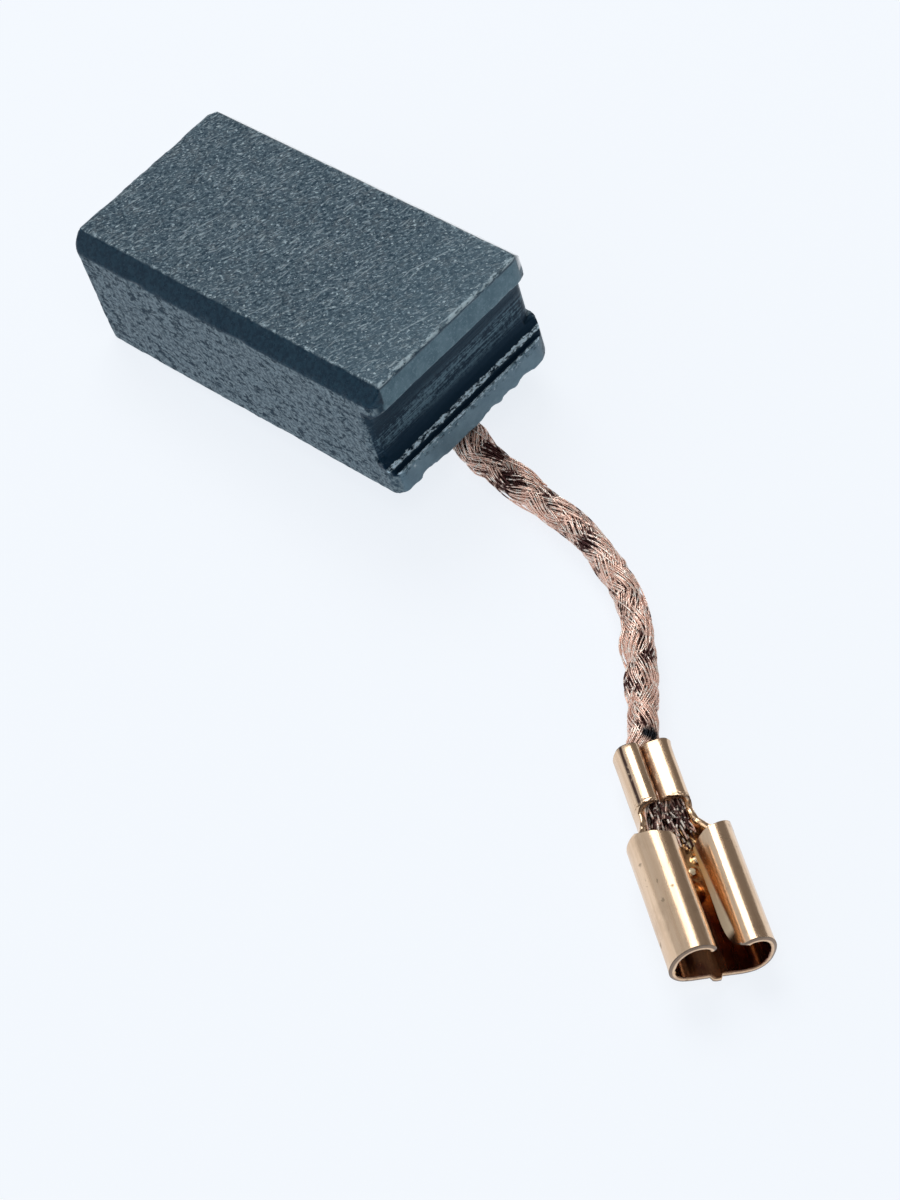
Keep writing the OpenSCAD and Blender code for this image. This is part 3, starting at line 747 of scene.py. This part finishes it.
# ------------------------------------------------------------------ materials
class Nodes:
    """A short way to write node trees."""

    def __init__(self, name):
        self.mat = bpy.data.materials.new(name)
        self.mat.use_nodes = True
        self.t = self.mat.node_tree
        self.bsdf = self.t.nodes["Principled BSDF"]

    def new(self, kind, **props):
        n = self.t.nodes.new(kind)
        for k, v in props.items():
            setattr(n, k, v)
        return n

    def link(self, a, b):
        self.t.links.new(a, b)

    def set(self, socket, v):
        if isinstance(v, bpy.types.NodeSocket):
            self.link(v, socket)
        else:
            socket.default_value = v

    def attr(self, name, vector=False):
        n = self.new("ShaderNodeAttribute", attribute_name=name)
        return n.outputs["Vector"] if vector else n.outputs["Fac"]

    def math(self, op, a, b=0.0, clamp=False):
        n = self.new("ShaderNodeMath", operation=op, use_clamp=clamp)
        self.set(n.inputs[0], a)
        self.set(n.inputs[1], b)
        return n.outputs[0]

    def mul(self, a, b):
        return self.math("MULTIPLY", a, b)

    def add(self, a, b):
        return self.math("ADD", a, b)

    def band(self, v, lo, hi):
        n = self.new("ShaderNodeMapRange", interpolation_type="SMOOTHSTEP")
        self.set(n.inputs["Value"], v)
        n.inputs["From Min"].default_value = lo
        n.inputs["From Max"].default_value = hi
        return n.outputs["Result"]

    def scaled(self, vec, scale, turn=0.0, loc=(0, 0, 0)):
        """The vector turned about z, then scaled."""
        n = self.new("ShaderNodeMapping", vector_type="POINT")
        self.link(vec, n.inputs["Vector"])
        n.inputs["Rotation"].default_value = (0, 0, turn)
        n.inputs["Location"].default_value = loc
        n2 = self.new("ShaderNodeMapping", vector_type="POINT")
        self.link(n.outputs[0], n2.inputs["Vector"])
        n2.inputs["Scale"].default_value = scale
        return n2.outputs[0]

    def noise(self, vec, scale=1.0, detail=3.0, rough=0.55, w=None):
        n = self.new("ShaderNodeTexNoise")
        self.link(vec, n.inputs["Vector"])
        n.inputs["Scale"].default_value = scale
        n.inputs["Detail"].default_value = detail
        n.inputs["Roughness"].default_value = rough
        return n.outputs["Fac"]

    def voronoi(self, vec, scale=1.0, feature="F1"):
        n = self.new("ShaderNodeTexVoronoi", feature=feature)
        self.link(vec, n.inputs["Vector"])
        n.inputs["Scale"].default_value = scale
        return n.outputs["Distance"]

    def mix(self, fac, a, b):
        n = self.new("ShaderNodeMix", data_type="RGBA")
        self.set(n.inputs[0], fac)
        for s, v in ((n.inputs[6], a), (n.inputs[7], b)):
            self.set(s, v if isinstance(v, bpy.types.NodeSocket) else (*v, 1))
        return n.outputs[2]

    def bump(self, height, distance, strength=1.0, normal=None):
        n = self.new("ShaderNodeBump")
        n.inputs["Strength"].default_value = strength
        n.inputs["Distance"].default_value = distance
        self.link(height, n.inputs["Height"])
        if normal is not None:
            self.link(normal, n.inputs["Normal"])
        return n.outputs[0]


# carbon: ground top, matter pitted sides, dark chamfers (partly their pressed face's own tone, partly painted shade),
# streaked seat
M = Nodes("graphite")
p = M.attr("block", True)
seat_m, edge_m = M.attr("seat"), M.attr("edge")
sep = M.new("ShaderNodeSeparateXYZ")
M.link(p, sep.inputs[0])
px, py, pz = sep.outputs
wob = M.mul(M.math("SUBTRACT", M.noise(p, 3.0, 3, 0.6), 0.5), 0.10)
ay = M.math("ABSOLUTE", py)
zz = M.add(pz, wob)
cham_m = M.mul(M.band(M.add(ay, M.mul(wob, 0.7)), 3.42, 3.49), M.band(M.math("SUBTRACT", pz, M.mul(wob, 0.7)), 4.20, 4.27))
top = M.mul(M.band(pz, 4.80, 4.93), M.math("SUBTRACT", 1.0, cham_m))
lip_m = M.mul(M.band(px, 14.86, 14.97), M.math("SUBTRACT", 1.0, M.math("MAXIMUM", cham_m, M.band(pz, 4.93, 4.99))))
far_m = M.band(py, 0.0, 0.5)


def line_dist(x0, z0):
    dx = M.math("SUBTRACT", px, x0)
    dz = M.math("SUBTRACT", pz, z0)
    return M.math("SQRT", M.add(M.mul(dx, dx), M.mul(dz, dz)))


jag = M.mul(M.math("SUBTRACT", M.noise(M.scaled(p, (7, 4.0, 7)), 1.0, 3, 0.7), 0.5), 0.12)
# painted highlights: thin bright lines along the seat's ridge and the lower lip's edge
ridge_highlight_m = M.band(M.add(line_dist(14.66, 1.155), M.mul(jag, 1.5)), 0.095, 0.055)
ridge2_highlight_m = M.band(M.add(line_dist(14.93, 1.01), jag), 0.080, 0.045)
seat_m = M.math("MAXIMUM", seat_m, M.mul(M.mul(M.band(px, 14.22, 14.26), M.band(px, 14.95, 14.90)),
                                         M.mul(M.band(pz, 1.12, 1.2), M.band(pz, 3.93, 3.86))))
mott = M.noise(p, 0.75, 4, 0.6)
grain = M.noise(p, 7.0, 4, 0.65)
fine = M.noise(p, 19.0, 2, 0.6)
side_c = M.mix(M.band(mott, 0.3, 0.72), (0.058, 0.088, 0.110), (0.108, 0.155, 0.186))
side_c = M.mix(M.mul(M.band(grain, 0.46, 0.60), 0.72), side_c, (0.215, 0.275, 0.305))
side_c = M.mix(M.mul(M.band(grain, 0.48, 0.38), 0.8), side_c, (0.018, 0.038, 0.056))
pits = M.noise(M.scaled(p, (2.4, 5.0, 3.9)), 1.0, 4.5, 0.74)
pits = M.band(M.add(pits, M.add(M.mul(M.band(px, 9.0, 1.5), 0.012), M.mul(M.math("SUBTRACT", mott, 0.5), 0.22))), 0.535, 0.60)
cracks = M.band(M.voronoi(M.scaled(p, (0.8, 1.2, 1.5)), 1.6, "DISTANCE_TO_EDGE"), 0.035, 0.0)
cracks = M.mul(cracks, M.band(M.noise(p, 1.5, 2, 0.5), 0.50, 0.60))
flat_side = M.mul(M.band(ay, 3.86, 3.94), M.band(px, 14.9, 14.8))
dark = M.mul(M.math("MAXIMUM", pits, cracks), flat_side)
side_c = M.mix(M.mul(dark, 0.92), side_c, (0.008, 0.020, 0.034))
# top: scratches and crushed grains; the scratches are paler wear marks, the specks painted bright as glints
flow = M.scaled(p, (3.6, 6.4, 6.0), math.radians(-64))
tex = M.noise(flow, 1.0, 5, 0.72)
tex2 = M.noise(M.scaled(p, (7.5, 10.5, 8.0), math.radians(-58), (3, 5, 0)), 1.0, 3, 0.75)
mott2 = M.noise(p, 1.9, 3, 0.6)
top_c = M.mix(M.band(mott, 0.28, 0.75), (0.050, 0.076, 0.098), (0.086, 0.118, 0.142))
top_c = M.mix(M.mul(M.band(mott2, 0.48, 0.66), 0.5), top_c, (0.092, 0.100, 0.106))
top_c = M.mix(M.mul(M.band(tex, 0.52, 0.43), 0.9), top_c, (0.010, 0.023, 0.037))
top_c = M.mix(M.mul(M.band(grain, 0.46, 0.36), 0.6), top_c, (0.010, 0.022, 0.034))
top_c = M.mix(M.mul(M.band(tex2, 0.51, 0.63), 0.75), top_c, (0.25, 0.34, 0.39))
# painted sheen: the top lighter towards the shunt end
top_c = M.mix(M.mul(M.band(px, 9.5, 15.0), 0.22), top_c, (0.15, 0.23, 0.28))


def scratches(turn, along, across, lo, hi, seed, patch=(0.45, 0.6)):
    v = M.scaled(p, (along, across, 1.0), turn, (seed, seed * 0.7, 0))
    s = M.band(M.noise(v, 1.0, 2.5, 0.5), lo, hi)
    return M.mul(s, M.band(M.noise(p, 0.7 + 0.03 * seed, 2, 0.5), *patch))


sc = scratches(math.radians(-66), 2.2, 8.0, 0.60, 0.68, 3, (0.40, 0.56))
sc = M.math("MAXIMUM", sc, scratches(math.radians(-50), 2.6, 9.0, 0.61, 0.69, 7, (0.42, 0.56)))
sc = M.math("MAXIMUM", sc, scratches(math.radians(-86), 1.7, 8.5, 0.60, 0.68, 11, (0.44, 0.56)))
sc = M.math("MAXIMUM", sc, scratches(math.radians(-70), 0.35, 9.0, 0.635, 0.69, 15, (0.48, 0.60)))
glint_specks = M.band(M.noise(M.scaled(p, (6, 8.5, 8), math.radians(-50)), 1.0, 2.5, 0.6), 0.605, 0.68)
# pale scratch marks, and specks painted as glints
light = M.math("MAXIMUM", M.mul(sc, 0.42), M.mul(glint_specks, 0.80))
top_c = M.mix(light, top_c, (0.56, 0.68, 0.74))
# chamfers: near-black navy, partly the pressed face's own tone and partly painted shade
chamfer_tone_and_shade_c = M.mix(M.band(tex, 0.38, 0.62), (0.002, 0.010, 0.021), (0.010, 0.030, 0.048))
chamfer_tone_and_shade_c = M.mix(M.mul(M.band(fine, 0.66, 0.75), 0.4), chamfer_tone_and_shade_c, (0.12, 0.17, 0.20))
# the far chamfer painted lighter: a painted reflection
chamfer_tone_and_shade_c = M.mix(M.mul(far_m, 0.6), chamfer_tone_and_shade_c, (0.05, 0.07, 0.085))
streak = M.add(M.mul(M.noise(M.scaled(p, (4, 0.42, 10)), 1.0, 4, 0.72), 0.60), M.mul(M.noise(p, 7.0, 4, 0.75), 0.40))
seat_c = M.mix(M.band(streak, 0.46, 0.57), (0.0, 0.007, 0.018), (0.080, 0.135, 0.175))
seat_c = M.mix(M.mul(M.mul(M.band(streak, 0.50, 0.58), M.mul(M.band(pz, 1.95, 2.15), M.band(pz, 2.6, 2.35))), 0.6), seat_c, (0.11, 0.18, 0.22))
# painted shade: the seat darker at its foot by the ridge and high up under the top lip's overhang
seat_c = M.mix(M.band(pz, 1.95, 1.55), seat_c, (0.001, 0.009, 0.022))
seat_c = M.mix(M.mul(M.band(pz, 2.55, 2.8), 0.85), seat_c, (0.003, 0.014, 0.027))
lip_c = M.mix(M.band(mott2, 0.3, 0.7), (0.070, 0.130, 0.165), (0.110, 0.185, 0.225))
lip_c = M.mix(M.mul(M.band(tex2, 0.52, 0.64), 0.4), lip_c, (0.20, 0.30, 0.35))
# painted shade: the lip's rounded near corner dark navy, like the chamfer
lip_c = M.mix(M.band(M.add(py, wob), -3.46, -3.60), lip_c, (0.006, 0.022, 0.036))
lip_c = M.mix(M.mul(M.band(pz, 4.80, 4.90), M.band(M.noise(M.scaled(p, (6, 2, 9)), 1.0, 3, 0.6), 0.36, 0.46)), lip_c, (0.012, 0.03, 0.046))
low_c = M.mix(M.band(mott2, 0.3, 0.7), (0.105, 0.170, 0.215), (0.150, 0.230, 0.280))
low_c = M.mix(M.mul(M.mul(M.band(tex, 0.52, 0.60), M.band(pz, 0.62, 0.92)), 0.85), low_c, (0.010, 0.026, 0.042))
# painted glints on the lower lip
low_c = M.mix(M.mul(M.mul(glint_specks, M.band(pz, 0.6, 0.9)), 0.8), low_c, (0.5, 0.6, 0.66))
col = M.mix(top, side_c, top_c)
col = M.mix(lip_m, col, M.mix(M.band(pz, 2.0, 1.6), lip_c, low_c))
col = M.mix(seat_m, col, seat_c)
col = M.mix(cham_m, col, chamfer_tone_and_shade_c)
# edges rubbed, and painted bright as highlights: the top's own edge, then everything else a little
top_edge_rub_highlight = M.mul(M.mul(M.band(pz, 4.90, 4.96), M.band(px, 14.80, 14.90)), M.band(M.noise(M.scaled(p, (5, 2.2, 5)), 1.0, 4, 0.7), 0.44, 0.54))
near_edge = M.mul(M.mul(M.band(pz, 4.88, 4.95), M.mul(M.band(ay, 3.34, 3.40), M.band(ay, 3.50, 3.46))), M.band(M.noise(p, 3.4, 4, 0.75), 0.53, 0.62))
worn = M.mul(edge_m, M.band(M.noise(p, 4.2, 4, 0.7), 0.50, 0.68))
worn = M.math("MAXIMUM", M.mul(worn, 0.35), M.math("MAXIMUM", M.mul(top_edge_rub_highlight, 0.8), M.mul(near_edge, 0.85)))
worn = M.mul(worn, M.math("SUBTRACT", 1.0, M.mul(cham_m, 0.8)))
col = M.mix(worn, col, (0.46, 0.58, 0.64))
broken = M.noise(M.scaled(p, (6, 2.6, 8)), 1.0, 4, 0.75)
# painted shade in the small valley between the ridge and the lip's edge
valley_shade = M.mul(M.mul(M.band(px, 14.70, 14.75), M.band(px, 14.93, 14.89)), M.mul(M.band(pz, 1.2, 1.13), M.mul(M.band(pz, 0.86, 0.92), M.band(ay, 4.0, 3.9))))
col = M.mix(valley_shade, col, (0.001, 0.008, 0.02))
# painted highlight lines, broken into dashes
ridge_highlights = M.math("MAXIMUM", M.mul(ridge_highlight_m, M.band(broken, 0.42, 0.54)), M.mul(M.mul(ridge2_highlight_m, M.band(broken, 0.44, 0.56)), 0.85))
col = M.mix(M.mul(ridge_highlights, 0.95), col, (0.66, 0.86, 1.0))
M.link(col, M.bsdf.inputs["Base Color"])
rough = M.add(0.44, M.mul(grain, 0.2))
rough = M.add(rough, M.mul(dark, 0.2))
rough = M.math("SUBTRACT", rough, M.mul(lip_m, 0.08))
rough = M.math("SUBTRACT", rough, M.mul(cham_m, 0.24))
rough = M.math("SUBTRACT", rough, M.mul(M.mul(cham_m, far_m), 0.12))
M.link(rough, M.bsdf.inputs["Roughness"])
M.link(M.mul(cham_m, far_m), M.bsdf.inputs["Coat Weight"])
M.bsdf.inputs["Coat Roughness"].default_value = 0.08
M.bsdf.inputs["Coat IOR"].default_value = 1.75
M.bsdf.inputs["Specular IOR Level"].default_value = 0.36
M.bsdf.inputs["Specular Tint"].default_value = (0.28, 0.64, 1.0, 1)
h = M.add(M.mul(grain, 0.35), M.mul(fine, 0.25))
h = M.add(h, M.mul(M.mul(M.add(tex, tex2), top), 0.6))
h = M.math("SUBTRACT", h, M.mul(M.mul(dark, M.math("SUBTRACT", 1.0, top)), 0.9))
h = M.math("SUBTRACT", h, M.mul(M.mul(sc, top), 0.5))
h = M.add(h, M.mul(M.mul(streak, seat_m), 0.5))
h = M.mul(h, M.math("SUBTRACT", 1.0, M.mul(cham_m, 0.85)))
M.link(M.bump(h, 0.00003, 0.8), M.bsdf.inputs["Normal"])
carbon.data.materials.append(M.mat)

# tamped powder: dark brown, with copper grains
M = Nodes("tamped copper powder")
p = M.attr("block", True)
g = M.noise(p, 9.0, 4, 0.7)
c = M.mix(M.band(g, 0.35, 0.7), (0.035, 0.022, 0.018), (0.16, 0.085, 0.055))
c = M.mix(M.band(M.noise(p, 22.0, 2, 0.6), 0.62, 0.7), c, (0.62, 0.33, 0.20))
M.link(c, M.bsdf.inputs["Base Color"])
M.link(M.add(0.55, M.mul(g, 0.3)), M.bsdf.inputs["Roughness"])
M.link(M.bump(g, 0.00004), M.bsdf.inputs["Normal"])
M.bsdf.inputs["Metallic"].default_value = 0.25
powder.data.materials.append(M.mat)

# copper wires: bright salmon crests, painted darker brown as shade where they lie deep in the plait, brown where
# tarnished; cream dashes painted as glints
M = Nodes("bare copper wire")
tc = M.new("ShaderNodeTexCoord").outputs["Object"]
shade_n, wire_n, along_n = M.attr("shade"), M.attr("wire"), M.attr("along")
n1 = M.noise(tc, 700, 3, 0.6)
n2 = M.noise(tc, 4200, 2, 0.6)
cmb = M.new("ShaderNodeCombineXYZ")
M.link(M.mul(along_n, 3.6), cmb.inputs[0])
M.link(M.mul(wire_n, 61.0), cmb.inputs[1])
dash = M.noise(cmb.outputs[0], 1.0, 3, 0.65)
patch = M.noise(tc, 950, 2, 0.5)
near_block = M.band(along_n, 7.5, 4.0)
tarn_and_shade = M.mul(M.math("SUBTRACT", 1.0, shade_n), 0.85)
tarn_and_shade = M.add(tarn_and_shade, M.mul(M.math("SUBTRACT", n1, 0.5), 2.0))
tarn_and_shade = M.add(tarn_and_shade, M.mul(M.math("SUBTRACT", patch, 0.5), 2.2))
tarn_and_shade = M.add(tarn_and_shade, M.mul(M.math("SUBTRACT", dash, 0.5), 2.4))
tarn_and_shade = M.add(tarn_and_shade, M.mul(near_block, 0.40))
tarn_and_shade = M.add(tarn_and_shade, M.mul(M.band(along_n, 16.0, 19.5), -0.16))
loose = M.band(along_n, 24.0, 26.0)
tarn_and_shade = M.band(tarn_and_shade, 0.24, 0.62)
c = M.mix(tarn_and_shade, (1.0, 0.68, 0.56), (0.085, 0.028, 0.026))
# painted glints: short cream dashes on the lit wires and on the cut-off ends past the crimp
c = M.mix(M.mul(M.band(dash, 0.50, 0.42), M.math("SUBTRACT", 1.0, tarn_and_shade)), c, (1.0, 0.92, 0.84))
c = M.mix(M.mul(loose, M.band(dash, 0.47, 0.41)), c, (1.0, 0.93, 0.84))
c = M.mix(M.attr("dark_spot"), c, (0.008, 0.012, 0.020))
M.link(c, M.bsdf.inputs["Base Color"])
M.link(M.math("SUBTRACT", 0.6, M.mul(loose, 0.25)), M.bsdf.inputs["Metallic"])
M.link(M.add(0.24, M.mul(tarn_and_shade, 0.26)), M.bsdf.inputs["Roughness"])
M.link(M.bump(M.add(M.mul(n2, 0.4), dash), 0.00003, 0.7), M.bsdf.inputs["Normal"])
braid.data.materials.append(M.mat)

M = Nodes("inner copper wires in painted shade")
tc = M.new("ShaderNodeTexCoord").outputs["Object"]
n1 = M.noise(tc, 2600, 3, 0.6)
M.link(M.mix(M.band(n1, 0.4, 0.65), (0.030, 0.014, 0.014), (0.12, 0.055, 0.045)), M.bsdf.inputs["Base Color"])
M.link(M.add(0.45, M.mul(n1, 0.2)), M.bsdf.inputs["Roughness"])
M.link(M.bump(n1, 0.00003), M.bsdf.inputs["Normal"])
M.bsdf.inputs["Metallic"].default_value = 0.6
core.data.materials.append(M.mat)

# brass: drawn sheet, tarnished in its folds
M = Nodes("brass sheet")
p = M.attr("rec", True)
inner_n, rim_n, arc_n = M.attr("inner"), M.attr("rim"), M.attr("arc")
flow = M.noise(M.scaled(p, (0.35, 5.0, 5.0)), 1.0, 4, 0.6)
blot = M.noise(p, 1.1, 4, 0.6)
spots = M.band(M.noise(p, 3.3, 3, 0.5), 0.67, 0.74)
c = M.mix(M.band(flow, 0.35, 0.7), (0.84, 0.615, 0.430), (0.72, 0.505, 0.335))
c = M.mix(M.mul(M.band(blot, 0.50, 0.72), 0.45), c, (0.60, 0.42, 0.28))
c = M.mix(M.mul(spots, 0.6), c, (0.26, 0.20, 0.13))
c = M.mix(M.mul(inner_n, 0.9), c, M.mix(M.band(blot, 0.38, 0.66), (0.95, 0.55, 0.22), (0.20, 0.055, 0.036)))
# darker: the inner floor towards the mouth, painted as shade under the rolls; brown along the crimp's seam
sepb = M.new("ShaderNodeSeparateXYZ")
M.link(p, sepb.inputs[0])
bs, bb, bn = sepb.outputs
floor_m = M.mul(M.mul(M.band(bs, -3.3, -1.6), M.band(bn, 0.6, 0.3)), inner_n)
c = M.mix(M.mul(floor_m, 0.85), c, (0.07, 0.018, 0.020))
seam = M.mul(M.mul(M.band(M.math("ABSOLUTE", M.add(bb, 0.19)), 0.20, 0.11), M.band(bs, -5.8, -5.95)), M.band(bn, 0.8, 0.95))
seam = M.mul(seam, M.band(M.noise(p, 5.0, 4, 0.7), 0.38, 0.52))
c = M.mix(M.mul(seam, 0.75), c, (0.30, 0.15, 0.08))
fold = M.mul(M.band(M.math("ABSOLUTE", M.add(bb, 0.895)), 0.05, 0.02), M.mul(M.band(bs, -5.8, -5.95), M.band(bn, 0.9, 1.0)))
c = M.mix(M.mul(fold, M.band(M.noise(p, 4.0, 4, 0.7), 0.36, 0.46)), c, (0.10, 0.06, 0.05))
# painted shade: the cut edge's outer corner darkened at the mouth and at the crimp
mouth_m = M.math("MAXIMUM", M.band(bs, -0.5, -0.2), M.band(bs, -5.6, -5.9))
c = M.mix(M.mul(M.mul(M.band(rim_n, 0.3, 0.7), mouth_m), 0.85), c, (0.16, 0.12, 0.10))
# painted highlights: a bright band on the curl's flank beside the slot, and bright spots on the bumps in the floor
# behind the dimple and on the dimple
flank_highlight = M.mul(M.band(M.add(arc_n, M.mul(bs, 0.10)), LIP0, LIP1), M.mul(M.band(bs, -4.3, -3.9), M.band(bs, -0.45, -0.8)))
flank_highlight = M.mul(flank_highlight, M.math("SUBTRACT", 1.0, M.mul(inner_n, M.band(rim_n, 0.5, 0.1))))


# a painted highlight spot on the floor, round with a ragged edge
def knock(s0, b0, r0):
    ds, db = M.math("SUBTRACT", bs, s0), M.math("SUBTRACT", bb, b0)
    d = M.math("SQRT", M.add(M.mul(ds, ds), M.mul(db, db)))
    d = M.add(d, M.mul(M.math("SUBTRACT", M.noise(p, 7.0, 2, 0.6), 0.5), 0.22))
    return M.mul(M.mul(M.band(d, r0, r0 * 0.7), inner_n), M.band(bn, 0.7, 0.5))


spot_highlights = M.math("MAXIMUM", knock(-4.69, 0.59, 0.17), M.math("MAXIMUM", knock(-4.12, 0.62, 0.13), knock(-3.70, 0.35, 0.13)))
spot_highlights = M.math("MAXIMUM", spot_highlights, M.mul(knock(-2.96, 0.12, 0.12), 0.6))
c = M.mix(flank_highlight, c, M.mix(M.band(bs, -3.6, -1.6), (1.0, 0.62, 0.26), (1.0, 0.84, 0.60)))
c = M.mix(spot_highlights, c, (1.0, 0.88, 0.62))
M.link(c, M.bsdf.inputs["Base Color"])
M.link(M.math("SUBTRACT", 1.0, M.mul(M.math("MAXIMUM", flank_highlight, spot_highlights), 0.75)), M.bsdf.inputs["Metallic"])
r = M.add(0.19, M.mul(M.band(flow, 0.3, 0.8), 0.13))
r = M.add(r, M.mul(spots, 0.2))
r = M.add(r, M.mul(seam, 0.3))
M.link(r, M.bsdf.inputs["Roughness"])
hh = M.add(M.mul(flow, 0.5), M.mul(M.noise(p, 14.0, 3, 0.6), 0.12))
M.link(M.bump(hh, 0.000014, 0.7), M.bsdf.inputs["Normal"])
brass.data.materials.append(M.mat)

# ------------------------------------------------------------------ floor and light
floor = mesh_object("floor", np.array([(-900, -900, 0), (900, -900, 0), (900, 900, 0), (-900, 900, 0)], float), [[0, 1, 2, 3]])
M = Nodes("pale table")
tc = M.new("ShaderNodeTexCoord").outputs["Object"]
M.link(M.mix(M.noise(tc, 8, 2, 0.5), (0.17, 0.175, 0.18), (0.18, 0.185, 0.19)), M.bsdf.inputs["Base Color"])
M.bsdf.inputs["Roughness"].default_value = 0.9
M.bsdf.inputs["Specular IOR Level"].default_value = 0.0
M.bsdf.inputs["Emission Color"].default_value = (0.895, 0.937, 0.992, 1)
M.bsdf.inputs["Emission Strength"].default_value = 0.865
floor.data.materials.append(M.mat)

world = bpy.data.worlds.new("studio")
world.use_nodes = True
wt = world.node_tree
wtc = wt.nodes.new("ShaderNodeTexCoord")
dot = wt.nodes.new("ShaderNodeVectorMath")
dot.operation = "DOT_PRODUCT"
dot.inputs[1].default_value = (-0.55, -0.83, 0.1)
wt.links.new(wtc.outputs["Generated"], dot.inputs[0])
ramp = wt.nodes.new("ShaderNodeMapRange")
ramp.interpolation_type = "SMOOTHSTEP"
ramp.inputs["From Min"].default_value = 0.08
ramp.inputs["From Max"].default_value = 0.42
wt.links.new(dot.outputs["Value"], ramp.inputs["Value"])
blend = wt.nodes.new("ShaderNodeMix")
blend.data_type = "RGBA"
blend.inputs[6].default_value = (0.205, 0.190, 0.178, 1)
blend.inputs[7].default_value = (0.56, 0.58, 0.60, 1)
wt.links.new(ramp.outputs["Result"], blend.inputs[0])
wt.links.new(blend.outputs[2], wt.nodes["Background"].inputs[0])
wt.nodes["Background"].inputs[1].default_value = 1.0
scene.world = world


def area(name, loc, target, size, power, colour=(1, 1, 1), size_y=None):
    d = bpy.data.lights.new(name, "AREA")
    d.energy = power
    d.color = colour
    d.size = size
    if size_y:
        d.shape = "RECTANGLE"
        d.size_y = size_y
    o = bpy.data.objects.new(name, d)
    o.location = loc
    o.rotation_mode = "QUATERNION"
    o.rotation_quaternion = (Vector(target) - Vector(loc)).to_track_quat("-Z", "Y")
    scene.collection.objects.link(o)
    return o


aim = Vector((0.010, -0.002, 0.002))
area("far softbox", aim + Vector((-0.477, 0.357, 0.803)) * 0.40, aim, 0.22, 0.55, (1, 0.995, 0.98), 0.20)
area("overhead softbox", aim + Vector((0.25, -0.12, 0.95)) * 0.45, aim, 0.26, 0.30, (1, 1, 1))

# ------------------------------------------------------------------ update
bpy.context.view_layer.update()
